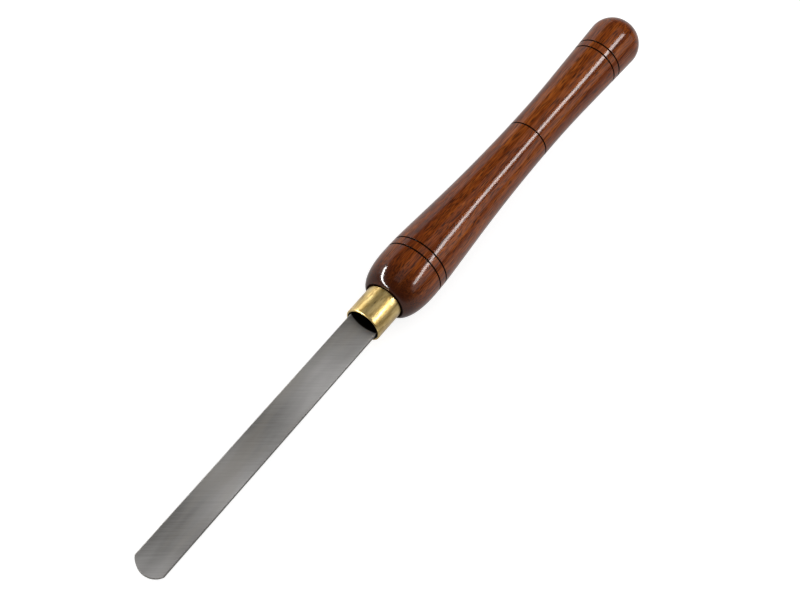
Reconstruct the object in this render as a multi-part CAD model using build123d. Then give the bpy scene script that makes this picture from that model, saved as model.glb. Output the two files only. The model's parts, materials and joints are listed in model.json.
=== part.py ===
from build123d import *

import os
from math import atan2, cos, degrees, hypot, radians, sin, tan

# Round nose turning chisel: a flat steel blade, a brass ferrule and a turned hardwood handle.
# All sizes are in millimetres and degrees. The pieces are drawn along the tool's own axis X,
# with X = 0 at the handle's shoulder and +X towards the nose, and are then laid down to rest.

# Blade, seen from above
BLADE_REACH = 159.4        # from the ferrule's mouth to the tip of the nose
NOSE_WIDTH = 15.9
ROOT_WIDTH = 15.3          # at the ferrule's mouth: the bar narrows a little towards the handle
BLADE_THICKNESS = 4.0
NOSE_RISE = 4.5            # depth of the round nose, from its two corners to its tip
BEVEL_RELIEF = 10.0        # angle by which the ground bevel leans back under the cutting edge
EDGE_EASE = 0.35           # chamfer along the four long edges

# Tang, a taper hidden in the handle
TANG_LENGTH = 62.0
TANG_WIDTH = 9.0
TANG_TIP_WIDTH = 4.5
TANG_TIP_THICKNESS = 2.6

# Ferrule, a brass tube
FERRULE_LENGTH = 17.2
FERRULE_WALL = 1.25
MOUTH_ROUND = 0.5          # round on the outer edge of the mouth
MOUTH_CHAMFER = 0.45       # chamfer on the inner edge of the mouth
REAR_CHAMFER = 0.3         # chamfer on the outer edge that meets the handle

# Fits
BLADE_CLEARANCE = 0.37     # between the blade's corners and the ferrule's bore
TENON_CLEARANCE = 0.02     # between the tenon and the ferrule's bore
TANG_CLEARANCE = 0.05      # between the tang and its socket

# Handle, lengths measured from the shoulder towards the butt
HANDLE_LENGTH = 211.9
TENON_SETBACK = 5.0        # depth of the dark recess in front of the tenon
TENON_CHAMFER = 0.6
SHOULDER_LEDGE = 0.75      # flat ring of wood that stands out past the ferrule
BELLY_FROM_SHOULDER = 19.3
BELLY_DIAMETER = 32.2
WAIST_FROM_SHOULDER = 132.9
WAIST_DIAMETER = 22.7
SWELL_FROM_BUTT = 12.4
SWELL_DIAMETER = 27.1
BUTT_FLAT_DIAMETER = 4.0

# Handle, how far the outline's curves reach: the shoulder's rise keeps its first direction that
# far, and each other reach runs from a level point to the corner that its curve rounds off
SHOULDER_RISE = 1.9
BELLY_FRONT_REACH = 14.2
BELLY_BACK_REACH = 8.0
WAIST_FRONT_REACH = 38.0
WAIST_BACK_REACH = 12.0
SWELL_FRONT_REACH = 0.5

# Burned decorating lines, cut as fine V grooves round the handle
LINE_WIDTH = 0.8
LINE_DEPTH = 0.4
FRONT_LINE_FROM_SHOULDER = 22.8
FRONT_LINE_SPACING = 5.0
MIDDLE_LINE_FROM_SHOULDER = 119.8
BACK_LINE_FROM_BUTT = 31.4
BACK_LINE_SPACING = 4.5

# Number of points taken along each curve of the handle to find a radius or the resting tilt
OUTLINE_SAMPLES = 400

# Values that follow from the ones above
mouth_x = FERRULE_LENGTH
nose_x = mouth_x + BLADE_REACH
tenon_x = mouth_x - TENON_SETBACK
half_thickness = BLADE_THICKNESS / 2
bevel_setback = BLADE_THICKNESS * tan(radians(BEVEL_RELIEF))
nose_radius = ((NOSE_WIDTH / 2) ** 2 + NOSE_RISE**2) / (2 * NOSE_RISE)
bore_radius = hypot(ROOT_WIDTH / 2, half_thickness) + BLADE_CLEARANCE
ferrule_radius = bore_radius + FERRULE_WALL
tenon_radius = bore_radius - TENON_CLEARANCE


def taper(start, start_reach, end_reach, end):
    """An arc, a straight taper and an arc from one level point of the outline to the next.

    The corner that each arc rounds off lies a reach away from its level point, and the arc ends
    as far beyond the corner, on the taper.
    """
    start_corner = Vector(*start) - Vector(start_reach, 0)
    end_corner = Vector(*end) + Vector(end_reach, 0)
    direction = (end_corner - start_corner).normalized()
    taper_start = start_corner + direction * start_reach
    taper_end = end_corner - direction * end_reach
    return [
        TangentArc(start, taper_start, tangent=(-1, 0)),
        Line(taper_start, taper_end),
        TangentArc(taper_end, end, tangent=direction),
    ]


def handle_curves():
    """The turned outline from the shoulder to the butt: belly, waist, swell and round end."""
    shoulder_radius = ferrule_radius + SHOULDER_LEDGE
    belly_x = -BELLY_FROM_SHOULDER
    belly_radius = BELLY_DIAMETER / 2
    waist_x = -WAIST_FROM_SHOULDER
    waist_radius = WAIST_DIAMETER / 2
    swell_x = SWELL_FROM_BUTT - HANDLE_LENGTH
    swell_radius = SWELL_DIAMETER / 2
    belly_top = (belly_x, belly_radius)
    waist_low = (waist_x, waist_radius)
    swell_top = (swell_x, swell_radius)
    shoulder = Bezier(
        (0, shoulder_radius),
        (0, shoulder_radius + SHOULDER_RISE),
        (belly_x + BELLY_FRONT_REACH, belly_radius),
        belly_top,
    )
    flat_edge = (-HANDLE_LENGTH, BUTT_FLAT_DIAMETER / 2)
    return [
        shoulder,
        *taper(belly_top, BELLY_BACK_REACH, WAIST_FRONT_REACH, waist_low),
        *taper(waist_low, WAIST_BACK_REACH, SWELL_FRONT_REACH, swell_top),
        TangentArc(swell_top, flat_edge, tangent=(-1, 0)),
        Line(flat_edge, (-HANDLE_LENGTH, 0)),
    ]


def outline_points(curves):
    """Points (x, radius) along the turned outline, from the shoulder to the butt."""
    steps = [i / OUTLINE_SAMPLES for i in range(OUTLINE_SAMPLES + 1)]
    points = [curve @ step for curve in curves for step in steps]
    return [(point.X, point.Y) for point in points]


def radius_at(x, points):
    """The turned radius at x, from the point of the outline that lies nearest to it."""
    return min(points, key=lambda point: abs(point[0] - x))[1]


def tang_form(gap):
    """The tapered tang, or with a gap the socket that it fills."""
    root = Rectangle(BLADE_THICKNESS + 2 * gap, TANG_WIDTH + 2 * gap)
    tip = Rectangle(TANG_TIP_THICKNESS + 2 * gap, TANG_TIP_WIDTH + 2 * gap)
    length = TANG_LENGTH + gap
    start = Plane(origin=(tenon_x, 0, 0), x_dir=(0, 0, 1), z_dir=(-1, 0, 0))
    return loft([start * root, start.offset(length) * tip], ruled=True)


def blade():
    """A flat bar with a bevelled round nose, eased long edges, a sloped neck and a tang."""
    half_root = ROOT_WIDTH / 2
    half_nose = NOSE_WIDTH / 2
    half_tang = TANG_WIDTH / 2
    plan = make_face(
        Polyline(
            (tenon_x, half_tang),
            (mouth_x, half_root),
            (nose_x, half_nose),
            (nose_x, -half_nose),
            (mouth_x, -half_root),
            (tenon_x, -half_tang),
            close=True,
        )
    )
    bar = extrude(Plane.XY.offset(-half_thickness) * plan, BLADE_THICKNESS)
    long_edges = [edge for edge in bar.edges() if edge.length > BLADE_REACH / 2]
    bar = chamfer(long_edges, EDGE_EASE)
    # the bevel is part of a cone that is widest at the cutting edge on the upper face
    nose_centre_x = nose_x - nose_radius
    cone = Cone(nose_radius - bevel_setback, nose_radius, BLADE_THICKNESS)
    straight_length = nose_centre_x - tenon_x
    straight = Box(straight_length, 2 * NOSE_WIDTH, BLADE_THICKNESS)
    limits = Pos(nose_centre_x, 0, 0) * cone + Pos(tenon_x + straight_length / 2, 0, 0) * straight
    return (bar & limits) + tang_form(0)


def ferrule():
    """A tube with a rounded and chamfered mouth, and a chamfer where it meets the wood."""
    section = make_face(
        Polyline(
            (0, bore_radius),
            (0, ferrule_radius - REAR_CHAMFER),
            (REAR_CHAMFER, ferrule_radius),
            (mouth_x, ferrule_radius),
            (mouth_x, bore_radius + MOUTH_CHAMFER),
            (mouth_x - MOUTH_CHAMFER, bore_radius),
            close=True,
        )
    )
    mouth_corner = section.vertices().sort_by(Axis.Y)[-2:].sort_by(Axis.X)[-1]
    section = fillet(mouth_corner, MOUTH_ROUND)
    return revolve(section, Axis.X)


def decorating_line(x, points):
    """The ring that is cut away to leave one V groove round the handle at x."""
    radius = radius_at(x, points)
    ring = make_face(
        Polyline(
            (x, radius - LINE_DEPTH),
            (x + LINE_WIDTH, radius + LINE_DEPTH),
            (x - LINE_WIDTH, radius + LINE_DEPTH),
            close=True,
        )
    )
    return revolve(ring, Axis.X)


def handle(curves, points):
    """The turned handle with its tenon, its burned lines and the socket for the tang."""
    tenon = Polyline(
        (-HANDLE_LENGTH, 0),
        (tenon_x, 0),
        (tenon_x, tenon_radius - TENON_CHAMFER),
        (tenon_x - TENON_CHAMFER, tenon_radius),
        (0, tenon_radius),
        curves[0] @ 0,
    )
    body = revolve(make_face([*tenon.edges(), *curves]), Axis.X)
    line_places = [
        -FRONT_LINE_FROM_SHOULDER,
        -FRONT_LINE_FROM_SHOULDER - FRONT_LINE_SPACING,
        -MIDDLE_LINE_FROM_SHOULDER,
        BACK_LINE_FROM_BUTT - HANDLE_LENGTH,
        BACK_LINE_FROM_BUTT - HANDLE_LENGTH - BACK_LINE_SPACING,
    ]
    for x in line_places:
        body -= decorating_line(x, points)
    return body - tang_form(TANG_CLEARANCE)


def resting_place(points):
    """How the tool lies: the underside of the nose and the belly both touch the floor.

    The tilt is the steepest line from the nose's lower edge to the turned outline. The tool is
    then lifted to the floor and centred over its own length.
    """
    contact_x = nose_x - bevel_setback
    tilt = max(atan2(radius - half_thickness, contact_x - x) for x, radius in points)
    lift = contact_x * sin(tilt) + half_thickness * cos(tilt)
    front = nose_x * cos(tilt) + half_thickness * sin(tilt)
    back = min(x * cos(tilt) - radius * sin(tilt) for x, radius in points)
    return Location((-(front + back) / 2, 0, lift)) * Rot(0, degrees(tilt), 0), degrees(tilt)


curves = handle_curves()
points = outline_points(curves)
place, tilt = resting_place(points)
pieces = {
    "blade": blade(),
    "ferrule": ferrule(),
    "handle": handle(curves, points),
}

os.makedirs("parts", exist_ok=True)
for name, piece in pieces.items():
    export_step(place * piece, f"parts/{name}.step")

# The middle of the blade's underside, which slides over a lathe's tool rest
underside = place * Location((mouth_x + BLADE_REACH / 2, 0, -half_thickness))
print("resting tilt", round(tilt, 4), "degrees")
print("underside at", [round(value, 6) for value in underside.position])
print("underside faces", [round(-sin(radians(tilt)), 9), 0, round(-cos(radians(tilt)), 9)])
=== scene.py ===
"""A round nose turning chisel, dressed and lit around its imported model.

The blade, the ferrule and the handle are worked out again as fine surfaces, in millimetres and in
the tool's own axes: X runs from the butt to the nose with X = 0 at the handle's shoulder, Y points
to the left of the nose and Z up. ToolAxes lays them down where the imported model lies.
"""

import json
import logging
import math
from collections.abc import Iterable
from dataclasses import dataclass, field
from enum import Enum
from typing import Any

import bmesh
import bpy
import numpy as np
from mathutils import Matrix, Vector


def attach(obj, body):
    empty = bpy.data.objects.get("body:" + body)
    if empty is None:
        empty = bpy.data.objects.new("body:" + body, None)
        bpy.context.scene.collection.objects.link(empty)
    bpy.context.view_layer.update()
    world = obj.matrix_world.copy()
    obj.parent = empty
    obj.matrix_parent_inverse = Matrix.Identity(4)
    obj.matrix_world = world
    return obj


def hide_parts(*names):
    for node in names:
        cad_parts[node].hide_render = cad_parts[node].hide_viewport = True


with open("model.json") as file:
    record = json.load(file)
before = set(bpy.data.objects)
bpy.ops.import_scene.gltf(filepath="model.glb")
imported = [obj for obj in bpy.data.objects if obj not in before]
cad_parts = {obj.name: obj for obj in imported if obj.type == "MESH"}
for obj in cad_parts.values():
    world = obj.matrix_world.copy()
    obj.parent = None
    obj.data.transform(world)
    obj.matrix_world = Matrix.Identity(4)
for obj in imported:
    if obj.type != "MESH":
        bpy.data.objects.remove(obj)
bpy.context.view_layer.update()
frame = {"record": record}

log = logging.getLogger("turning_chisel")

MM = 0.001

# Points nearer than the first, in metres, are merged, and edges under the second are dissolved
MERGE_DISTANCE = 1e-7
SHORTEST_EDGE = 1e-8
SHARP_ANGLE = math.radians(32)

# Points nearer than this, in millimetres, are one point that was worked out twice
SAME_POINT = 1e-9

Points = np.ndarray
Pair = tuple[float, float]
Triple = tuple[float, float, float]
Material = bpy.types.Material
Tree = bpy.types.NodeTree
Node = bpy.types.Node
Socket = bpy.types.NodeSocket

# The numbers of a Mix node's two colour inputs, because its inputs share their names
MIX_A, MIX_B = 6, 7


class Ray(Enum):
    """The Light Path outputs that tell the kinds of ray apart."""

    CAMERA = "Is Camera Ray"
    GLOSSY = "Is Glossy Ray"
    TRANSMISSION = "Is Transmission Ray"


def linear(colour: str) -> tuple[float, ...]:
    """Turn an sRGB hex colour into the linear colour that a shader wants.

    Args:
        colour: Six hex digits after a hash.

    Returns:
        Linear red, green and blue, and an alpha of one.
    """
    srgb = [int(colour[i:i + 2], 16) / 255 for i in (1, 3, 5)]
    channels = [c / 12.92 if c <= 0.04045 else ((c + 0.055) / 1.055) ** 2.4 for c in srgb]
    return (*channels, 1.0)


def set_inputs(tree: Tree, node: Node, inputs: dict[str | int, Any]) -> None:
    """Set or link a node's inputs.

    Args:
        tree: The node tree.
        node: The node.
        inputs: By the name or number of each input, its value, an sRGB hex colour, an output
            socket, or a node, which stands for its first output in use.
    """
    for place, value in inputs.items():
        if isinstance(value, Node):
            value = next(output for output in value.outputs if output.enabled)
        if isinstance(value, Socket):
            tree.links.new(value, node.inputs[place])
        else:
            node.inputs[place].default_value = linear(value) if isinstance(value, str) else value


def add_node(
    tree: Tree,
    kind: str,
    inputs: dict[str | int, Any] | None = None,
    stops: Iterable[tuple[float, str]] = (),
    **settings: Any,
) -> Node:
    """Add one node, with its settings, its values and its links.

    Args:
        tree: The node tree that gets the node.
        kind: The node's type name, without ShaderNode in front.
        inputs: What its inputs get, as set_inputs takes it.
        stops: Positions and sRGB hex colours, where the node has a colour ramp.
        **settings: The node's own properties.

    Returns:
        The new node.
    """
    node = tree.nodes.new("ShaderNode" + kind)
    for name, value in settings.items():
        setattr(node, name, value)
    set_inputs(tree, node, inputs or {})
    for index, (position, colour) in enumerate(stops):
        elements = node.color_ramp.elements
        element = elements[index] if index < len(elements) else elements.new(1.0)
        element.position = position
        element.color = linear(colour)
    return node


def layered(tree: Tree, colour: Any, layers: Iterable[tuple[Any, Any]]) -> Node:
    """Lay colours over one another.

    Args:
        tree: The node tree.
        colour: The undermost colour.
        layers: How much of each further colour covers what is under it, and that colour.

    Returns:
        What is seen of them all.
    """
    for share, over in layers:
        mix = {0: share, MIX_A: colour, MIX_B: over}
        colour = add_node(tree, "Mix", mix, data_type="RGBA")
    return colour


def new_material(name: str) -> tuple[Material, Tree, Node]:
    """Make a material.

    Args:
        name: Its name.

    Returns:
        The material, its node tree and its shader.
    """
    material = bpy.data.materials.new(name)
    material.use_nodes = True
    return material, material.node_tree, material.node_tree.nodes["Principled BSDF"]


@dataclass(frozen=True)
class ToolAxes:
    """The tool's own axes, where the tool lies in the row frame.

    Attributes:
        origin: The middle of the handle's shoulder, in metres.
        pitch: How far the nose points downwards, in radians.
    """

    origin: Triple
    pitch: float

    @classmethod
    def from_mount(cls, record: dict[str, Any], along: float, below: float) -> "ToolAxes":
        """Read the axes from the flat mount under the blade.

        Args:
            record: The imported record.
            along: The mount's distance in front of the shoulder, in millimetres.
            below: The mount's distance below the tool's axis, in millimetres.

        Returns:
            The axes. The mount faces straight down in them, so its axis gives the pitch.
        """
        mount = next(m for m in record["mounts"] if m["name"] == "blade_underside")
        pitch = math.atan2(-mount["axis"][0], -mount["axis"][2])
        forward = np.array([math.cos(pitch), 0.0, -math.sin(pitch)])
        up = np.array([math.sin(pitch), 0.0, math.cos(pitch)])
        origin = np.array(mount["pos_m"]) - forward * along * MM + up * below * MM
        return cls(tuple(origin), pitch)

    def matrix(self) -> Matrix:
        """Return the turn and place of the tool's axes in the row frame."""
        return Matrix.Translation(self.origin) @ Matrix.Rotation(self.pitch, 4, "Y")

    def place(self, points: Points) -> Points:
        """Turn points from millimetres in the tool's axes into metres in the row frame."""
        turn = np.array(self.matrix().to_3x3())
        return points @ turn.T * MM + np.array(self.origin)

    def coordinates(self, tree: Tree) -> Node:
        """Add the nodes that give a material its place in the tool's axes.

        Args:
            tree: The material's node tree.

        Returns:
            The place, in millimetres.
        """
        values = {
            "Vector": add_node(tree, "TexCoord").outputs["Object"],
            "Location": self.origin,
            "Rotation": (0.0, self.pitch, 0.0),
            "Scale": (MM, MM, MM),
        }
        return add_node(tree, "Mapping", values, vector_type="TEXTURE")


def cubic_curve(points: list[Pair], count: int) -> Points:
    """Work out a cubic curve, whose control points weigh as the terms of ((1 - t) + t) ** 3.

    Args:
        points: The four control points.
        count: How many points the curve gets.

    Returns:
        The points, as rows.
    """
    corners = np.array(points, float)
    t = np.linspace(0.0, 1.0, count)[:, None]
    weights = ((1 - t) ** 3, 3 * t * (1 - t) ** 2, 3 * t**2 * (1 - t), t**3)
    return sum(weight * corner for weight, corner in zip(weights, corners))


def tangent_arc(start: Points, direction: Points, end: Points, count: int) -> Points:
    """Work out an arc that leaves start in a direction and reaches end.

    The chord makes half of the arc's turn with the direction. The radius is half the chord over
    the sine of that angle, and a point at turn t lies sin t ahead of the start and 1 - cos t to
    its side, both times the radius.

    Args:
        start: The first point.
        direction: The direction of travel there, of length one.
        end: The last point.
        count: How many points the arc has.

    Returns:
        The points, as rows.
    """
    side = np.array([-direction[1], direction[0]])
    chord = end - start
    half_turn = math.atan2(chord @ side, chord @ direction)
    radius = np.linalg.norm(chord) / (2 * math.sin(half_turn))
    turn = np.linspace(0.0, 2 * half_turn, count)[:, None]
    return start + radius * (np.sin(turn) * direction + (1 - np.cos(turn)) * side)


def rounded(path: list[Triple], count: int) -> Points:
    """Round the corners of a closed outline.

    Each corner becomes an arc of its own radius. The arc starts and ends at the radius times the
    tangent of half the corner's turn before and after the corner.

    Args:
        path: The corners, each with its radius.
        count: How many points each arc has.

    Returns:
        The outline's points, as rows, without the first one repeated.
    """
    corners = np.array([corner[:2] for corner in path], float)
    radii = np.array([corner[2] for corner in path], float)
    before = np.roll(corners, 1, axis=0) - corners
    after = np.roll(corners, -1, axis=0) - corners
    before /= np.linalg.norm(before, axis=1)[:, None]
    after /= np.linalg.norm(after, axis=1)[:, None]
    turn = math.pi - np.arccos(np.clip(np.sum(before * after, axis=1), -1, 1))
    reach = radii * np.tan(turn / 2)
    arcs = [
        tangent_arc(corner + b * r, -b, corner + a * r, count)
        for corner, b, a, r in zip(corners, before, after, reach)
    ]
    return np.concatenate(arcs)


def along_path(path: Points) -> Points:
    """Return each point's distance along a path from its first point."""
    steps = np.linalg.norm(np.diff(path, axis=0), axis=1)
    return np.concatenate([[0.0], np.cumsum(steps)])


def rings(profile: Points, angles: Points) -> Points:
    """Turn a profile of x and radius round the X axis.

    A point at angle t lies at radius times sin t along Y and radius times cos t along Z.

    Args:
        profile: x and radius, as rows.
        angles: The angles round the axis, in radians from the top.

    Returns:
        A grid of points, one ring for each row of the profile.
    """
    x = np.repeat(profile[:, :1], len(angles), axis=1)
    y = profile[:, 1:] * np.sin(angles)
    z = profile[:, 1:] * np.cos(angles)
    return np.stack([x, y, z], axis=2)


def shell(
    name: str,
    grid: Points,
    axes: ToolAxes,
    closed_along: bool = False,
    attributes: dict[str, Points] | None = None,
) -> bpy.types.Object:
    """Make a closed mesh from rings of points.

    Quads join each ring to the next, and each ring closes on itself. A ring whose points all
    meet becomes one point there, which closes that end.

    Args:
        name: The object's name.
        grid: Rings of points, in millimetres in the tool's axes.
        axes: The tool's axes.
        closed_along: Whether the last ring joins the first.
        attributes: Values for the materials, one for each point of the grid.

    Returns:
        The new object, at the origin with its place in its mesh.
    """
    rows, columns = grid.shape[:2]
    index = np.arange(rows * columns).reshape(rows, columns)
    near = index if closed_along else index[:-1]
    far = np.roll(index, -1, axis=0) if closed_along else index[1:]
    quads = np.stack([near, np.roll(near, -1, axis=1), np.roll(far, -1, axis=1), far], axis=2)
    quads = quads.reshape(-1, 4)

    mesh = bpy.data.meshes.new(name)
    mesh.vertices.add(rows * columns)
    mesh.vertices.foreach_set("co", axes.place(grid.reshape(-1, 3)).ravel())
    mesh.loops.add(quads.size)
    mesh.loops.foreach_set("vertex_index", quads.ravel())
    mesh.polygons.add(len(quads))
    mesh.polygons.foreach_set("loop_start", np.arange(0, quads.size, 4))
    mesh.update(calc_edges=True)
    for key, values in (attributes or {}).items():
        layer = mesh.attributes.new(key, "FLOAT", "POINT")
        layer.data.foreach_set("value", values.ravel().astype(np.float32))

    work = bmesh.new()
    work.from_mesh(mesh)
    bmesh.ops.remove_doubles(work, verts=work.verts, dist=MERGE_DISTANCE)
    bmesh.ops.dissolve_degenerate(work, edges=work.edges, dist=SHORTEST_EDGE)
    bmesh.ops.recalc_face_normals(work, faces=work.faces)
    work.to_mesh(mesh)
    work.free()
    mesh.shade_smooth()
    mesh.set_sharp_from_angle(angle=SHARP_ANGLE)

    piece = bpy.data.objects.new(name, mesh)
    bpy.context.scene.collection.objects.link(piece)
    return piece


def drawn_out(
    tree: Tree,
    place: Node,
    size: Triple,
    detail: float = 2.0,
    shift: float = 0.0,
    turn: float = 0.0,
    roughness: float = 0.6,
) -> Node:
    """Add a cloudy pattern that is longer one way than the others.

    Args:
        tree: The material's node tree.
        place: The place in the tool's axes, in millimetres.
        size: The length of one cloud along X, Y and Z, in millimetres.
        detail: How many finer layers the pattern has.
        shift: A distance in millimetres that sets this pattern apart from the others.
        turn: How far its length is turned round Z, away from the tool's axis, in degrees.
        roughness: How strong each finer layer is beside the one before.

    Returns:
        The pattern, mostly between 0.3 and 0.7.
    """
    turned = (0.0, 0.0, math.radians(turn))
    values = {"Vector": place, "Location": (shift,) * 3, "Rotation": turned, "Scale": size}
    mapping = add_node(tree, "Mapping", values, vector_type="TEXTURE")
    values = {"Vector": mapping, "Scale": 1.0, "Detail": detail, "Roughness": roughness}
    return add_node(tree, "TexNoise", values)


@dataclass(frozen=True)
class GroundSteel:
    """High speed steel, hardened and surface ground to a satin.

    The grinding belt leaves fine lines that slant across the bar, so a reflection is soft, and the
    tone drifts in long faint clouds. The narrow side walls are painted darker as painted shade, and
    are rougher.
    Lengths are in millimetres, and a weight says how far a layer moves the tone.
    """

    tone: str = "#d7d5d3"
    shade: str = "#8b8986"
    tone_range: Pair = (0.08, 0.95)
    warm: str = "#b3aca1"
    # the side walls' colour, painted darker as painted shade
    wall_shade: str = "#84817d"
    # near black painted shade: the recess, and the mouth's painted shadow and reflection on the blade
    mouth_shade_tone: str = "#0c0906"
    roughness: float = 0.42
    wall_roughness: float = 0.7
    wall_edge: float = 0.2
    line_size: Triple = (16.0, 0.55, 8.0)
    line_slant: float = 132.4
    line_weight: float = 0.33
    line_depth: float = 0.01
    line_relief: float = 0.5
    cloud_size: Triple = (45.0, 7.0, 20.0)
    cloud_weight: float = 0.5
    patch_size: Triple = (38.0, 6.0, 20.0)
    patch_range: Pair = (0.45, 0.65)
    patch_warmth: float = 0.3
    sheen_drift_weight: float = 0.02
    pass_length: float = 64.0
    pass_start: float = 40.0
    pass_weight: float = 0.17
    mouth_shade_reach: float = 1.7
    mouth_shade_blur: float = 0.3

    def material(self, axes: ToolAxes, mouth_x: float, half_width: float) -> Material:
        """Make the steel.

        Args:
            axes: The tool's axes.
            mouth_x: Where the ferrule's mouth is.
            half_width: Half the blade's width there.

        Returns:
            The material.
        """
        material, tree, shader = new_material("surface_ground_high_speed_steel")
        place = axes.coordinates(tree)
        x, y, _ = add_node(tree, "SeparateXYZ", {0: place}).outputs
        # the belt's lines are about 0.1 mm apart, and are drawn coarser here so that they show
        lines = drawn_out(tree, place, self.line_size, shift=5.0, turn=self.line_slant)
        clouds = drawn_out(tree, place, self.cloud_size, shift=79.0)
        patches = drawn_out(tree, place, self.patch_size, detail=1.0, shift=31.0)
        tone = self.ground_tone(tree, x, y, clouds, lines)
        low, high = self.patch_range
        limits = {"Value": patches, "From Min": low, "From Max": high, "To Max": self.patch_warmth}
        warmth = add_node(tree, "MapRange", limits)
        # the side walls are painted darker as painted shade, and are rougher
        wall = add_node(tree, "Attribute", attribute_name="wall_shade").outputs["Fac"]
        # the recess and the mouth's shadow and reflection are painted black, as painted shade
        mouth_shade = self.mouth_shade(tree, x, y, mouth_x, half_width)
        layers = ((warmth, self.warm), (wall, self.wall_shade), (mouth_shade, self.mouth_shade_tone))
        relief = {"Strength": self.line_relief, "Distance": self.line_depth * MM, "Height": lines}
        dullness = {
            "Value": wall,
            "From Max": self.wall_edge,
            "To Min": self.roughness,
            "To Max": self.wall_roughness,
        }
        set_inputs(tree, shader, {
            "Base Color": layered(tree, tone, layers),
            "Metallic": 1.0,
            "Roughness": add_node(tree, "MapRange", dullness),
            "Normal": add_node(tree, "Bump", relief),
        })
        return material

    def ground_tone(self, tree: Tree, x: Socket, y: Socket, clouds: Node, lines: Node) -> Node:
        """Add up the layers that make the ground face lighter and darker.

        The layers are a drift across the blade, which is painted reflection that makes one side of the
        face lighter, long clouds, a slow wave along the bar and the belt's lines. The wave is the sine
        of X, and makes the face lighter and darker along the bar.

        Args:
            tree: The material's node tree.
            x: The place along the tool.
            y: The place across it.
            clouds: The pattern of the clouds.
            lines: The pattern of the belt's lines.

        Returns:
            The face's colour.
        """
        turn = 2 * math.pi / self.pass_length
        step = {0: x, 1: turn, 2: -turn * self.pass_start}
        angle = add_node(tree, "Math", step, operation="MULTIPLY_ADD")
        wave = add_node(tree, "Math", {0: angle}, operation="SINE")
        layers = (
            # painted reflection: the face is lighter towards one side
            (y, self.sheen_drift_weight),
            (clouds, self.cloud_weight),
            (wave, self.pass_weight),
            (lines, self.line_weight),
        )
        total: Node | float = 0.0
        for layer, weight in layers:
            step = {0: layer, 1: weight, 2: total}
            total = add_node(tree, "Math", step, operation="MULTIPLY_ADD")
        stops = zip(self.tone_range, (self.shade, self.tone))
        return add_node(tree, "ValToRGB", {0: total}, stops)

    def mouth_shade(self, tree: Tree, x: Socket, y: Socket, mouth_x: float, half_width: float) -> Node:
        """Paint black shade in the recess, with the mouth's painted shadow and reflection bowing out of
        it.

        The painted shade ends where X plus a share of Y squared reaches the set reach in front of the
        mouth, so its edge is a parabola that meets the mouth at the blade's sides.

        Args:
            tree: The material's node tree.
            x: The place along the tool.
            y: The place across it.
            mouth_x: Where the ferrule's mouth is.
            half_width: Half the blade's width there.

        Returns:
            One in the painted shade, and zero outside it.
        """
        squared = add_node(tree, "Math", {0: y, 1: y}, operation="MULTIPLY")
        bow = {0: squared, 1: self.mouth_shade_reach / half_width**2, 2: x}
        bowed = add_node(tree, "Math", bow, operation="MULTIPLY_ADD")
        mouth_shade_end = mouth_x + self.mouth_shade_reach
        edge = {
            "Value": bowed,
            "From Min": mouth_shade_end - self.mouth_shade_blur,
            "From Max": mouth_shade_end + self.mouth_shade_blur,
            "To Min": 1.0,
            "To Max": 0.0,
        }
        return add_node(tree, "MapRange", edge)


@dataclass(frozen=True)
class TurnedBrass:
    """Brass tube, turned and polished.

    Fine rings from the tool are left under the polish, so what it mirrors is drawn out along the
    tube in soft bands, from pale gold to olive. Handling has dulled it in small clouds.
    """

    tone: str = "#e6ca86"
    shade: str = "#bb9a52"
    dull: str = "#7d6230"
    # the bore's colour, near black as painted shade
    bore_shade: str = "#070402"
    roughness: float = 0.36
    coat: float = 0.7
    coat_roughness: float = 0.24
    spread: float = 0.4
    ring_size: Triple = (0.3, 40.0, 40.0)
    ring_depth: float = 0.01
    ring_relief: float = 0.3
    cloud_size: Triple = (9.0, 2.6, 2.6)
    cloud_range: Pair = (0.35, 0.6)
    stain_size: Triple = (5.0, 1.4, 1.4)
    stain_range: Pair = (0.56, 0.72)
    stain_weight: float = 0.7

    def material(self, axes: ToolAxes) -> Material:
        """Make the brass.

        Args:
            axes: The tool's axes.

        Returns:
            The material.
        """
        material, tree, shader = new_material("turned_and_polished_brass")
        place = axes.coordinates(tree)
        marks = drawn_out(tree, place, self.ring_size, shift=3.0)
        clouds = drawn_out(tree, place, self.cloud_size, detail=3.0, shift=9.0)
        stains = drawn_out(tree, place, self.stain_size, shift=57.0)
        stops = zip(self.cloud_range, (self.shade, self.tone))
        tone = add_node(tree, "ValToRGB", {0: clouds}, stops)
        low, high = self.stain_range
        limits = {"Value": stains, "From Min": low, "From Max": high, "To Max": self.stain_weight}
        stained = add_node(tree, "MapRange", limits)
        bore = add_node(tree, "Attribute", attribute_name="bore").outputs["Fac"]
        # the bore is painted near black, as painted shade
        layers = ((stained, self.dull), (bore, self.bore_shade))
        # the bore has no lacquer
        coat = {0: self.coat, 1: bore}
        lacquer = add_node(tree, "Math", coat, operation="SUBTRACT", use_clamp=True)
        relief = {"Strength": self.ring_relief, "Distance": self.ring_depth * MM, "Height": marks}
        forward = {"X": math.cos(axes.pitch), "Z": -math.sin(axes.pitch)}
        set_inputs(tree, shader, {
            "Base Color": layered(tree, tone, layers),
            "Metallic": 1.0,
            "Roughness": self.roughness,
            "Normal": add_node(tree, "Bump", relief),
            "Anisotropic": self.spread,
            "Tangent": add_node(tree, "CombineXYZ", forward),
            "Coat Weight": lacquer,
            "Coat Roughness": self.coat_roughness,
        })
        return material


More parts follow.
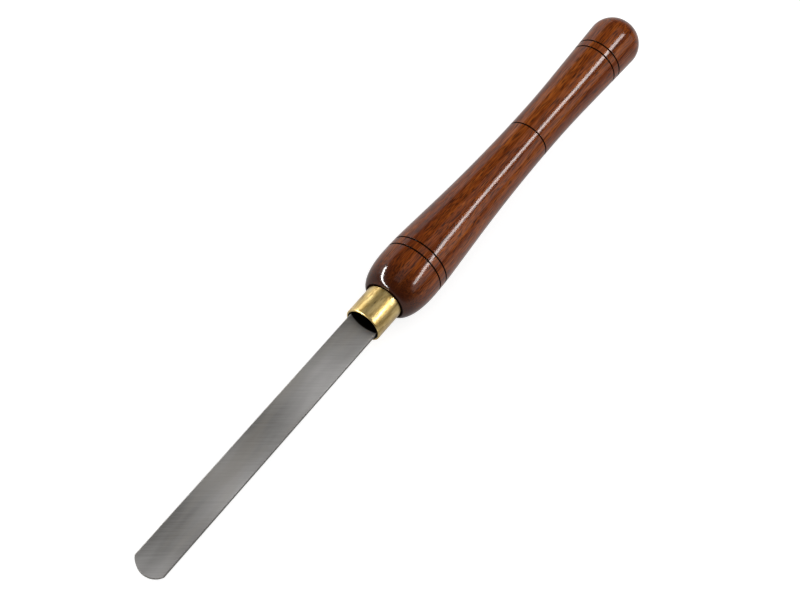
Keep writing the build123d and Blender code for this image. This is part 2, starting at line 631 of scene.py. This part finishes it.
@dataclass(frozen=True)
class LacqueredHardwood:
    """Red-brown tropical hardwood, stained and lacquered to a gloss.

    The wood has long dark vessels, which cut the surface as fine dashes along the grain, and
    ribbons of lighter and darker growth. The lacquer lies over them and mirrors like glass, but
    it has shrunk into the grain a little, so the edge of a reflection is ragged. In the burned
    lines the wood is charred and bare, and the seam at the shoulder, the tenon and the socket are
    painted the same, as painted shade.
    """

    deep: str = "#5e2609"
    middle: str = "#7f3b0e"
    light: str = "#9f541b"
    vessel: str = "#2c1106"
    # stain taken up at the shoulder, and painted shade on the belly's front
    stain_and_shade: str = "#2f0e01"
    # char also paints shade on the seam at the shoulder, the tenon and the socket
    char_and_shade: str = "#150a06"
    figure_range: Triple = (0.38, 0.5, 0.62)
    ribbon: Triple = (85.0, 4.5, 4.5)
    fibre: Triple = (17.0, 0.42, 0.42)
    vessels: Triple = (6.0, 0.36, 0.36)
    vessel_range: Pair = (0.48, 0.7)
    vessel_weight: float = 0.8
    vessel_depth: float = 0.05
    vessel_relief: float = 0.3
    shrinkage: Triple = (11.0, 1.0, 1.0)
    sunken: float = 0.011
    roughness: float = 0.6
    coat_ior: float = 1.4
    coat_roughness: float = 0.13
    dark_end: float = 18.0
    dark_weight: float = 0.9

    def material(self, axes: ToolAxes) -> Material:
        """Make the wood.

        Args:
            axes: The tool's axes.

        Returns:
            The material.
        """
        material, tree, shader = new_material("lacquered_red_hardwood")
        place = axes.coordinates(tree)
        ribbon = drawn_out(tree, place, self.ribbon, shift=3.0)
        fibre = drawn_out(tree, place, self.fibre, detail=3.0, shift=11.0)
        vessels = drawn_out(tree, place, self.vessels, detail=0.0, shift=23.0)
        shrunk = drawn_out(tree, place, self.shrinkage, detail=1.0, shift=41.0)
        both = add_node(tree, "Math", {0: ribbon, 1: fibre}, operation="ADD")
        figure = add_node(tree, "Math", {0: both, 1: 0.5}, operation="MULTIPLY")
        stops = zip(self.figure_range, (self.deep, self.middle, self.light))
        wood = add_node(tree, "ValToRGB", {0: figure}, stops)
        low, high = self.vessel_range
        limits = {"Value": vessels, "From Min": low, "From Max": high, "To Max": self.vessel_weight}
        pores = add_node(tree, "MapRange", limits)
        # the end grain at the shoulder took up more of the stain, and the belly's front, which faces
        # away from the light, is painted darker as well, as painted shade
        x = add_node(tree, "SeparateXYZ", {0: place}).outputs["X"]
        limits = {"Value": x, "From Min": -self.dark_end, "From Max": 0.0, "To Max": self.dark_weight}
        end = add_node(tree, "MapRange", limits, interpolation_type="SMOOTHSTEP")
        # burned in the lines, and painted dark as shade in the seam, on the tenon and in the socket
        burned = add_node(tree, "Attribute", attribute_name="burn_and_shade").outputs["Fac"]
        layers = ((pores, self.vessel), (end, self.stain_and_shade), (burned, self.char_and_shade))
        sunk = {"Strength": self.vessel_relief, "Distance": self.vessel_depth * MM, "Height": pores}
        ragged = {"Strength": 1.0, "Distance": self.sunken * MM, "Height": shrunk}
        bare = {0: 1.0, 1: burned}
        set_inputs(tree, shader, {
            "Base Color": layered(tree, wood, layers),
            "Roughness": self.roughness,
            "Specular IOR Level": 0.0,
            "Normal": add_node(tree, "Bump", sunk, invert=True),
            "Coat Weight": add_node(tree, "Math", bare, operation="SUBTRACT"),
            "Coat Roughness": self.coat_roughness,
            "Coat IOR": self.coat_ior,
            "Coat Normal": add_node(tree, "Bump", ragged),
        })
        return material


@dataclass
class Piece:
    """What every piece of the tool shares."""

    axes: ToolAxes

    def seat(self, piece: bpy.types.Object, node: str, slot: str, finish: Material) -> None:
        """Dress a piece and let it stand for its CAD node.

        Args:
            piece: The new object.
            node: The node that it replaces.
            slot: The record's material slot. It is not used.
            finish: Its material.
        """
        piece.data.materials.append(finish)
        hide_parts(node)
        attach(piece, "root")
        log.info("%s stands for %s with %d faces", piece.name, node, len(piece.data.polygons))


@dataclass
class Blade(Piece):
    """The flat bar with its bevelled round nose, its neck and its tang."""

    reach: float = 159.4
    nose_width: float = 15.9
    root_width: float = 15.3
    thickness: float = 4.0
    nose_rise: float = 4.5
    bevel_relief: float = 10.0
    edge_ease: float = 0.35
    mouth_x: float = 17.2
    neck_length: float = 5.0
    tang_length: float = 62.0
    tang_width: float = 9.0
    tang_tip_width: float = 4.5
    tang_tip_thickness: float = 2.6
    points_on_ease: int = 6
    points_on_taper: int = 12
    points_on_bar: int = 60
    points_on_nose: int = 49
    crowding: float = 1.6
    corner_steps: int = 8
    across: tuple[float, ...] = (-0.975, -0.9, -0.6, -0.3, 0.0, 0.3, 0.6, 0.9, 0.975)
    steel: GroundSteel = field(default_factory=GroundSteel)

    @property
    def nose_x(self) -> float:
        """Return where the tip of the nose is."""
        return self.mouth_x + self.reach

    def layers(self) -> tuple[Points, Points]:
        """Work out the side wall's heights and how far each is set in by the eased edges.

        The ease is a quarter round: at angle t it is set in by its radius times 1 - cos t and lies
        its radius times 1 - sin t from the face.

        Returns:
            Heights as a share of half the thickness, from the lower face to the upper one, and
            the set-in of each in millimetres.
        """
        quarter = np.linspace(0.0, math.pi / 2, self.points_on_ease)
        inset = self.edge_ease * (1 - np.cos(quarter))
        drop = self.edge_ease * (1 - np.sin(quarter))
        half = self.thickness / 2
        upper = 1 - drop / half
        heights = np.concatenate([-upper[::-1], upper])
        return heights, np.concatenate([inset[::-1], inset])

    def outline(self) -> tuple[Points, Points, Points]:
        """Work out half of the plan at each height, from the tang's tip to the tip of the nose.

        Along the bar the half width runs straight between the named widths. The nose at height z
        is an arc whose radius shrinks below the upper face by the bevel's relief, and the bar
        stops where the arc meets its side. The bar's stations crowd towards the ferrule's mouth.

        Returns:
            x, half width and height, each with one row for a station and one column for a layer.
        """
        heights, inset = self.layers()
        half = self.thickness / 2
        rise = self.nose_rise
        radius = ((self.nose_width / 2) ** 2 + rise**2) / (2 * rise)
        centre = self.nose_x - radius
        level = heights * half
        arc_radius = radius - (half - level) * math.tan(math.radians(self.bevel_relief))
        slope = (self.nose_width - self.root_width) / 2 / self.reach

        def side(x: Points) -> Points:
            """Return the bar's half width at x, set in by the eased edges."""
            return self.root_width / 2 + (x - self.mouth_x) * slope - inset

        # the side is nearly parallel to X, so a few steps bring its meeting with the arc close
        corner = np.full_like(level, self.nose_x - rise)
        for _ in range(self.corner_steps):
            corner = centre + np.sqrt(arc_radius**2 - side(corner) ** 2)

        tenon_x = self.mouth_x - self.neck_length
        tip_x = tenon_x - self.tang_length
        share = np.linspace(0.0, 1.0, self.points_on_taper)[:, None]
        tang_x = tip_x + share * self.tang_length + 0 * level
        tang_half = self.tang_tip_width + share * (self.tang_width - self.tang_tip_width)
        tip_thick = self.tang_tip_thickness
        tang_thick = tip_thick + share * (self.thickness - tip_thick)
        neck_x = tenon_x + share[1:-1] * self.neck_length + 0 * level
        neck_half = self.tang_width + share[1:-1] * (self.root_width - self.tang_width)
        body = np.linspace(0.0, 1.0, self.points_on_bar)[:, None] ** self.crowding
        body_x = self.mouth_x + body * (corner - self.mouth_x)
        start = np.arctan2(side(corner), corner - centre)
        turn = start * (1 - np.linspace(0.0, 1.0, self.points_on_nose)[1:, None])

        x = np.concatenate([tang_x, neck_x, body_x, centre + arc_radius * np.cos(turn)])
        width = np.concatenate([
            tang_half / 2 + 0 * level,
            neck_half / 2 - inset * share[1:-1],
            side(body_x),
            arc_radius * np.sin(turn),
        ])
        flat = np.full((len(x) - len(share), 1), half)
        z = np.concatenate([tang_thick / 2, flat]) * heights
        return x, width, z

    def grid(self) -> tuple[Points, Points]:
        """Work out the closed ring of points round the bar at each station.

        Returns:
            The rings, and for each point how far the side walls' painted shade covers it, 0 to 1.
        """
        x, width, z = self.outline()
        # points close to the eased edges keep the shading of the face between them flat
        across = np.array(self.across)

        def face(column: int, way: int) -> Points:
            """Return the points across the face that starts at a column of the side wall."""
            y = way * width[:, column, None] * across
            return np.stack(np.broadcast_arrays(x[:, column, None], y, z[:, column, None]), axis=2)

        left = np.stack([x, width, z], axis=2)
        right = np.stack([x, -width, z], axis=2)[:, ::-1]
        body = np.concatenate([left, face(-1, -1), right, face(0, 1)], axis=1)
        tip = np.broadcast_to(np.array([x[0, 0], 0.0, 0.0]), body[:1].shape)
        # the side walls and their eased edges get the painted shade
        side = 1 - self.layers()[1] / self.edge_ease
        flat = np.zeros(len(across))
        wall = np.tile(np.concatenate([side, flat, side, flat]), (len(x) + 1, 1))
        return np.concatenate([tip, body]), wall

    def build(self) -> None:
        """Make the blade and let it stand for its node."""
        grid, wall = self.grid()
        piece = shell("ground_blade", grid, self.axes, attributes={"wall_shade": wall})
        finish = self.steel.material(self.axes, self.mouth_x, self.root_width / 2)
        self.seat(piece, "blade", "blade_steel", finish)


@dataclass
class Ferrule(Piece):
    """The brass tube, with its rounded mouth and a shallow dimple near the wood."""

    length: float = 17.2
    bore_radius: float = 8.277
    wall: float = 1.25
    mouth_round: float = 0.5
    mouth_chamfer: float = 0.45
    rear_chamfer: float = 0.3
    bore_edge_round: float = 0.05
    rear_edge_round: float = 0.08
    mouth_edge_round: float = 0.1
    points_on_round: int = 7
    points_around: int = 256
    outside_step: float = 0.5
    bore_shade_reach: float = 0.44
    dimple_x: float = 7.7
    dimple_angle: float = -41.7
    dimple_radius: float = 1.7
    dimple_depth: float = 0.16
    brass: TurnedBrass = field(default_factory=TurnedBrass)

    def profile(self) -> Points:
        """Work out the tube's section.

        The outside is divided in small steps, so that the dimple has points to bend.

        Returns:
            The section as a closed loop of x and radius.
        """
        outer = self.bore_radius + self.wall
        rear = [
            (0.0, self.bore_radius, self.bore_edge_round),
            (0.0, outer - self.rear_chamfer, self.rear_edge_round),
            (self.rear_chamfer, outer, self.rear_edge_round),
        ]
        mouth = [
            (self.length, outer, self.mouth_round),
            (self.length, self.bore_radius + self.mouth_chamfer, self.mouth_edge_round),
            (self.length - self.mouth_chamfer, self.bore_radius, self.mouth_edge_round),
        ]
        loop = rounded(rear + mouth, self.points_on_round)
        start, end = 2 * self.rear_chamfer, self.length - 2 * self.mouth_round
        outside_x = np.arange(start, end, self.outside_step)
        outside = np.stack([outside_x, np.full_like(outside_x, outer)], axis=1)
        rear_end = len(rear) * self.points_on_round
        return np.concatenate([loop[:rear_end], outside, loop[rear_end:]])

    def grid(self) -> tuple[Points, Points]:
        """Turn the section round the axis and press the dimple into the outside.

        The dimple's depth falls off as a bell curve of the distance from its middle, measured
        along the tube and round it.

        Returns:
            The rings, and for each point whether it lies in the bore, which is painted dark as shade.
        """
        angles = np.linspace(0.0, 2 * math.pi, self.points_around, endpoint=False)
        profile = self.profile()
        outer = self.bore_radius + self.wall
        away = (angles - math.radians(self.dimple_angle) + math.pi) % (2 * math.pi) - math.pi
        distance = np.hypot(profile[:, :1] - self.dimple_x, outer * away)
        dent = self.dimple_depth * np.exp(-((distance / self.dimple_radius) ** 2))
        dent *= profile[:, 1:] > self.bore_radius + self.wall / 2
        grid = rings(profile, angles)
        radial = np.stack([np.zeros_like(angles), np.sin(angles), np.cos(angles)], axis=1)
        # points in and near the bore are painted dark, as painted shade
        shaded_bore = profile[:, 1:] < self.bore_radius + self.bore_shade_reach
        bore = np.repeat(shaded_bore, len(angles), axis=1).astype(float)
        return grid - dent[:, :, None] * radial, bore

    def build(self) -> None:
        """Make the ferrule and let it stand for its node."""
        grid, bore = self.grid()
        piece = shell("polished_ferrule", grid, self.axes, closed_along=True, attributes={"bore": bore})
        self.seat(piece, "ferrule", "ferrule_brass", self.brass.material(self.axes))


@dataclass
class Handle(Piece):
    """The turned handle, with its tenon, its burned lines and the socket for the tang."""

    length: float = 211.9
    shoulder_radius: float = 10.277
    belly: Pair = (19.3, 32.2)
    waist: Pair = (132.9, 22.7)
    swell_from_butt: float = 12.4
    swell_diameter: float = 27.1
    butt_flat: float = 4.0
    shoulder_rise: float = 1.9
    belly_reaches: Pair = (14.2, 8.0)
    waist_reaches: Pair = (38.0, 12.0)
    swell_reach: float = 0.5
    tenon_radius: float = 8.257
    tenon_x: float = 12.2
    tenon_chamfer: float = 0.6
    socket_depth: float = 62.05
    socket_mouth: Pair = (9.1, 4.1)
    socket_end: Pair = (4.6, 2.7)
    lines_from_shoulder: tuple[float, ...] = (22.8, 27.8, 119.8)
    lines_from_butt: tuple[float, ...] = (31.4, 26.9)
    line_width: float = 0.9
    line_depth: float = 0.4
    burn_reach: float = 1.15
    burn_fade: float = 0.35
    seam_shade: float = 0.4
    points_around: int = 192
    points_on_shoulder: int = 200
    points_on_arc: int = 80
    points_on_butt: int = 120
    points_on_line: int = 17
    line_zone: float = 0.7
    shoulder_zone: float = 8.0
    shoulder_step: float = 0.25
    body_step: float = 1.0
    station_decimals: int = 4
    wood: LacqueredHardwood = field(default_factory=LacqueredHardwood)

    def taper(self, start: Points, reaches: Pair, end: Points) -> Points:
        """Work out an arc, a straight taper and an arc between two level points.

        Args:
            start: The first level point.
            reaches: Distances from the level points to the corners that their arcs round off.
            end: The next level point, nearer to the butt.

        Returns:
            Points of x and radius.
        """
        level = np.array([-1.0, 0.0])
        first_corner = start + level * reaches[0]
        last_corner = end - level * reaches[1]
        direction = last_corner - first_corner
        direction /= np.linalg.norm(direction)
        first_end = first_corner + direction * reaches[0]
        last_start = last_corner - direction * reaches[1]
        return np.concatenate([
            tangent_arc(start, level, first_end, self.points_on_arc),
            tangent_arc(last_start, direction, end, self.points_on_arc),
        ])

    def outline(self) -> Points:
        """Work out the turned outline.

        Returns:
            Points of x and radius, from the shoulder to the butt's flat.
        """
        belly = np.array([-self.belly[0], self.belly[1] / 2])
        waist = np.array([-self.waist[0], self.waist[1] / 2])
        swell = np.array([self.swell_from_butt - self.length, self.swell_diameter / 2])
        flat = np.array([-self.length, self.butt_flat / 2])
        shoulder = cubic_curve([
            (0.0, self.shoulder_radius),
            (0.0, self.shoulder_radius + self.shoulder_rise),
            (belly[0] + self.belly_reaches[0], belly[1]),
            tuple(belly),
        ], self.points_on_shoulder)
        return np.concatenate([
            shoulder,
            self.taper(belly, (self.belly_reaches[1], self.waist_reaches[0]), waist),
            self.taper(waist, (self.waist_reaches[1], self.swell_reach), swell),
            tangent_arc(swell, np.array([-1.0, 0.0]), flat, self.points_on_butt),
        ])

    def line_places(self) -> Points:
        """Return where the burned lines are along X."""
        return np.array([-x for x in self.lines_from_shoulder]
                        + [x - self.length for x in self.lines_from_butt])

    def turned_surface(self) -> tuple[Points, Points]:
        """Divide the outline and cut the burned lines into it.

        The outline is divided closely at the shoulder and at each line, and more widely
        elsewhere. A line's depth follows one cosine wave across its width, and is cut at right
        angles to the outline. The wood is burned in each line, a little beyond its edges, and the
        seam at the shoulder is painted dark as painted shade.

        Returns:
            The profile of x and radius, and how burned or painted dark as shade each point is, from 0
            to 1.
        """
        outline = self.outline()
        distance = along_path(outline)
        keep = np.concatenate([[True], np.diff(distance) > SAME_POINT])
        outline, distance = outline[keep], distance[keep]
        centres = np.interp(-self.line_places(), -outline[:, 0], distance)
        across = np.linspace(-1.0, 1.0, self.points_on_line) * self.line_width * self.line_zone
        stations = np.unique(np.concatenate([
            np.arange(0.0, self.shoulder_zone, self.shoulder_step),
            np.arange(self.shoulder_zone, distance[-1], self.body_step),
            (centres[:, None] + across).ravel(),
            distance[-1:],
        ]).round(self.station_decimals))
        points = np.stack([np.interp(stations, distance, outline[:, k]) for k in (0, 1)], axis=1)
        ahead = np.gradient(points, stations, axis=0)
        inward = np.stack([ahead[:, 1], -ahead[:, 0]], axis=1)
        inward *= np.where(inward[:, 1:] > 0, -1.0, 1.0)
        inward /= np.linalg.norm(inward, axis=1)[:, None]
        offset = np.abs(stations[:, None] - centres).min(axis=1) / (self.line_width / 2)
        cut = (1 + np.cos(math.pi * np.minimum(offset, 1))) / 2
        at_lines = (self.burn_reach - offset) / self.burn_fade
        # the seam at the shoulder is painted dark, as painted shade
        at_shoulder = (self.seam_shade - stations) / (self.seam_shade / 2)
        burn_and_shade = np.clip(np.maximum(at_lines, at_shoulder), 0.0, 1.0)
        return points + inward * (self.line_depth * cut)[:, None], burn_and_shade

    def box_ring(self, x: float, size: Pair) -> Points:
        """Work out a rectangular ring whose corners fall on points that a round ring also has.

        Args:
            x: Where the ring is.
            size: Its width along Y and its height along Z.

        Returns:
            One ring of points.
        """
        around = np.arange(self.points_around)
        # in twelfths of the ring: the middles of the sides at 0, 3, 6 and 9, and the corners between
        knots = np.array([0, 2, 3, 4, 6, 8, 9, 10, 12]) / 12 * self.points_around
        y = np.interp(around, knots, np.array([0, 1, 1, 1, 0, -1, -1, -1, 0]) * size[0] / 2)
        z = np.interp(around, knots, np.array([1, 1, 0, -1, -1, -1, 0, 1, 1]) * size[1] / 2)
        return np.stack([np.full_like(y, x), y, z], axis=1)[None]

    def grid(self) -> tuple[Points, Points]:
        """Work out the whole closed surface, from the butt to the bottom of the socket.

        Returns:
            The rings of points, and how burned or painted dark as shade each point is.
        """
        profile, burn_and_shade = self.turned_surface()
        angles = np.linspace(0.0, 2 * math.pi, self.points_around, endpoint=False)
        face = self.tenon_radius - self.tenon_chamfer
        tenon = np.array([
            (0.0, self.tenon_radius),
            (self.tenon_x - self.tenon_chamfer, self.tenon_radius),
            (self.tenon_x, face),
        ])
        butt = np.array([(-self.length, 0.0)])
        turned = rings(np.concatenate([butt, profile[::-1], tenon]), angles)
        bottom_x = self.tenon_x - self.socket_depth
        bottom = np.broadcast_to(np.array([bottom_x, 0.0, 0.0]), turned[:1].shape)
        grid = np.concatenate([
            turned,
            self.box_ring(self.tenon_x, self.socket_mouth),
            self.box_ring(bottom_x, self.socket_end),
            bottom,
        ])
        # the tenon and the socket are painted dark all over, as painted shade
        values = np.concatenate([[0.0], burn_and_shade[::-1], np.ones(len(grid) - len(burn_and_shade) - 1)])
        return grid, np.repeat(values[:, None], self.points_around, axis=1)

    def build(self) -> None:
        """Make the handle and let it stand for its node."""
        grid, burn_and_shade = self.grid()
        piece = shell("turned_handle", grid, self.axes, attributes={"burn_and_shade": burn_and_shade})
        self.seat(piece, "handle", "handle_wood", self.wood.material(self.axes))


@dataclass(frozen=True)
class Softbox:
    """A rectangular lamp, which only glossy surfaces show.

    Attributes:
        name: The lamp's name.
        place: Its middle, in millimetres in the tool's axes.
        aim: The point that it faces, in the same way.
        size: Its length and width, in metres.
        watts: Its power.
        along: The direction that its length follows as nearly as it can.
    """

    name: str
    place: Triple
    aim: Triple
    size: Pair
    watts: float
    along: Triple = (1.0, 0.0, 0.0)


@dataclass
class Studio:
    """The floor, the soft lights and the camera.

    Places are in millimetres in the tool's own axes, because the photograph shows how the tool
    lies to its camera and lights. The camera stands camera_along ahead of the shoulder and
    camera_distance from the axis, and is turned by camera_round and rolled by camera_roll degrees.
    The lamps are a strip close over the handle, softboxes left, above and right of the tool, and a
    bright strip ahead of the nose.
    """

    axes: ToolAxes
    camera_along: float = 428.3
    camera_distance: float = 837.1
    camera_round: float = 8.0
    camera_aim: Triple = (-5.36, 5.25, 0.0)
    camera_roll: float = 138.62
    camera_lens: float = 90.0
    camera_clip: Pair = (0.01, 50.0)
    sensor: float = 36.0
    lamps: tuple[Softbox, ...] = (
        Softbox("handle_strip", (-196, 138, 220), (-196, 138, 0), (0.325, 0.05), 0.86,
                (0.872, 0.489, 0.0)),
        Softbox("fill_softbox", (-650, 950, 650), (-60, 0, 0), (1.4, 0.5), 1.9),
        Softbox("ceiling_card", (-420, -130, 1000), (-420, -130, 0), (1.3, 0.5), 0.8),
        Softbox("rim_softbox", (-440, -900, 170), (0, 0, 0), (1.2, 0.3), 0.8),
        Softbox("low_strip", (465, -720, 400), (0, 0, 0), (1.5, 0.075), 27.0, (0.83, 0.55, 0.0)),
    )
    floor_size: float = 12.0
    floor_tone: str = "#b4b4b4"
    floor_roughness: float = 0.9
    floor_glow: float = 0.75
    mirrored_share: float = 0.28
    white: str = "#ffffff"
    room_light: str = "#f0f0f0"
    mirrored_room: tuple[tuple[float, str], ...] = (
        (0.0, "#b0b0b0"),
        (0.1, "#8a8a8c"),
        (0.35, "#4c4c4e"),
        (0.7, "#3a3a3c"),
        (1.0, "#303032"),
    )

    def place(self, point: Triple) -> Vector:
        """Turn a place in the tool's axes into metres in the row frame."""
        return Vector(self.axes.place(np.array([point], float))[0])

    def camera(self) -> None:
        """Add the camera. Its picture's upward direction is rolled away from the nose's."""
        round_axis = math.radians(self.camera_round)
        location = self.place((
            self.camera_along,
            self.camera_distance * math.sin(round_axis),
            self.camera_distance * math.cos(round_axis),
        ))
        ahead = (self.place(self.camera_aim) - location).normalized()
        nose = self.axes.matrix().to_3x3() @ Vector((1.0, 0.0, 0.0))
        seen_nose = (nose - ahead * nose.dot(ahead)).normalized()
        up = Matrix.Rotation(math.radians(self.camera_roll), 3, ahead) @ seen_nose
        turn = Matrix((ahead.cross(up), up, -ahead)).transposed()
        data = bpy.data.cameras.new("camera")
        data.lens = self.camera_lens
        data.sensor_width = self.sensor
        data.clip_start, data.clip_end = self.camera_clip
        camera = bpy.data.objects.new("camera", data)
        camera.matrix_world = Matrix.Translation(location) @ turn.to_4x4()
        bpy.context.scene.collection.objects.link(camera)
        bpy.context.scene.camera = camera

    def light(self, softbox: Softbox) -> None:
        """Add one lamp.

        Args:
            softbox: The lamp's settings.
        """
        data = bpy.data.lights.new(softbox.name, "AREA")
        data.shape = "RECTANGLE"
        data.size, data.size_y = softbox.size
        data.energy = softbox.watts
        location = self.place(softbox.place)
        ahead = (self.place(softbox.aim) - location).normalized()
        length = self.axes.matrix().to_3x3() @ Vector(softbox.along)
        length = (length - ahead * length.dot(ahead)).normalized()
        turn = Matrix((length, (-ahead).cross(length), -ahead)).transposed()
        lamp = bpy.data.objects.new(softbox.name, data)
        lamp.matrix_world = Matrix.Translation(location) @ turn.to_4x4()
        lamp.visible_camera = False
        lamp.visible_diffuse = False
        bpy.context.scene.collection.objects.link(lamp)

    def seen_plainly(self, tree: Tree) -> Node:
        """Add the nodes that tell which rays see the studio plain and white.

        Args:
            tree: The node tree.

        Returns:
            One for rays from the camera and for transmitted ones, and zero for the others.
        """
        path = add_node(tree, "LightPath").outputs
        rays = {0: path[Ray.CAMERA.value], 1: path[Ray.TRANSMISSION.value]}
        return add_node(tree, "Math", rays, operation="MAXIMUM")

    def floor(self) -> None:
        """Add the floor, a pale matt sheet that also glows a little where it is seen.

        It glows fully for the camera, and by a share of that for mirrored rays.
        """
        half = self.floor_size / 2
        mesh = bpy.data.meshes.new("floor")
        corners = [(-half, -half, 0.0), (half, -half, 0.0), (half, half, 0.0), (-half, half, 0.0)]
        mesh.from_pydata(corners, [], [(0, 1, 2, 3)])
        material, tree, shader = new_material("matt_white_sheet")
        glossy = add_node(tree, "LightPath").outputs[Ray.GLOSSY.value]
        seen = {0: glossy, 1: self.mirrored_share, 2: self.seen_plainly(tree)}
        glow = {0: add_node(tree, "Math", seen, operation="MULTIPLY_ADD"), 1: self.floor_glow}
        set_inputs(tree, shader, {
            "Base Color": self.floor_tone,
            "Roughness": self.floor_roughness,
            "Specular IOR Level": 0.0,
            "Emission Color": self.white,
            "Emission Strength": add_node(tree, "Math", glow, operation="MULTIPLY"),
        })
        mesh.materials.append(material)
        floor = bpy.data.objects.new("floor", mesh)
        bpy.context.scene.collection.objects.link(floor)

    def world(self) -> None:
        """Light the room softly.

        The camera sees it white, diffuse surfaces get an even light, and glossy ones mirror a
        room that gets darker overhead.
        """
        world = bpy.data.worlds.new("studio")
        bpy.context.scene.world = world
        world.use_nodes = True
        tree = world.node_tree
        tree.nodes.clear()
        direction = add_node(tree, "TexCoord").outputs["Generated"]
        height = add_node(tree, "SeparateXYZ", {0: direction}).outputs["Z"]
        room = add_node(tree, "ValToRGB", {0: height}, self.mirrored_room)
        glossy = add_node(tree, "LightPath").outputs[Ray.GLOSSY.value]
        layers = ((glossy, room), (self.seen_plainly(tree), self.white))
        colour = layered(tree, self.room_light, layers)
        background = add_node(tree, "Background", {"Color": colour, "Strength": 1.0})
        add_node(tree, "OutputWorld", {"Surface": background})

    def build(self) -> None:
        """Make the whole studio."""
        bpy.context.scene.view_settings.view_transform = "Standard"
        self.camera()
        for softbox in self.lamps:
            self.light(softbox)
        self.floor()
        self.world()
        log.info("camera, %d lamps, floor and world are in place", len(self.lamps))


def main() -> None:
    """Build the tool's three pieces and the studio."""
    logging.basicConfig(level=logging.INFO, format="%(name)s: %(message)s")
    mount_along = Blade.mouth_x + Blade.reach / 2
    axes = ToolAxes.from_mount(frame["record"], mount_along, Blade.thickness / 2)
    Blade(axes).build()
    Ferrule(axes).build()
    Handle(axes).build()
    Studio(axes).build()


if __name__ == "__main__":
    main()
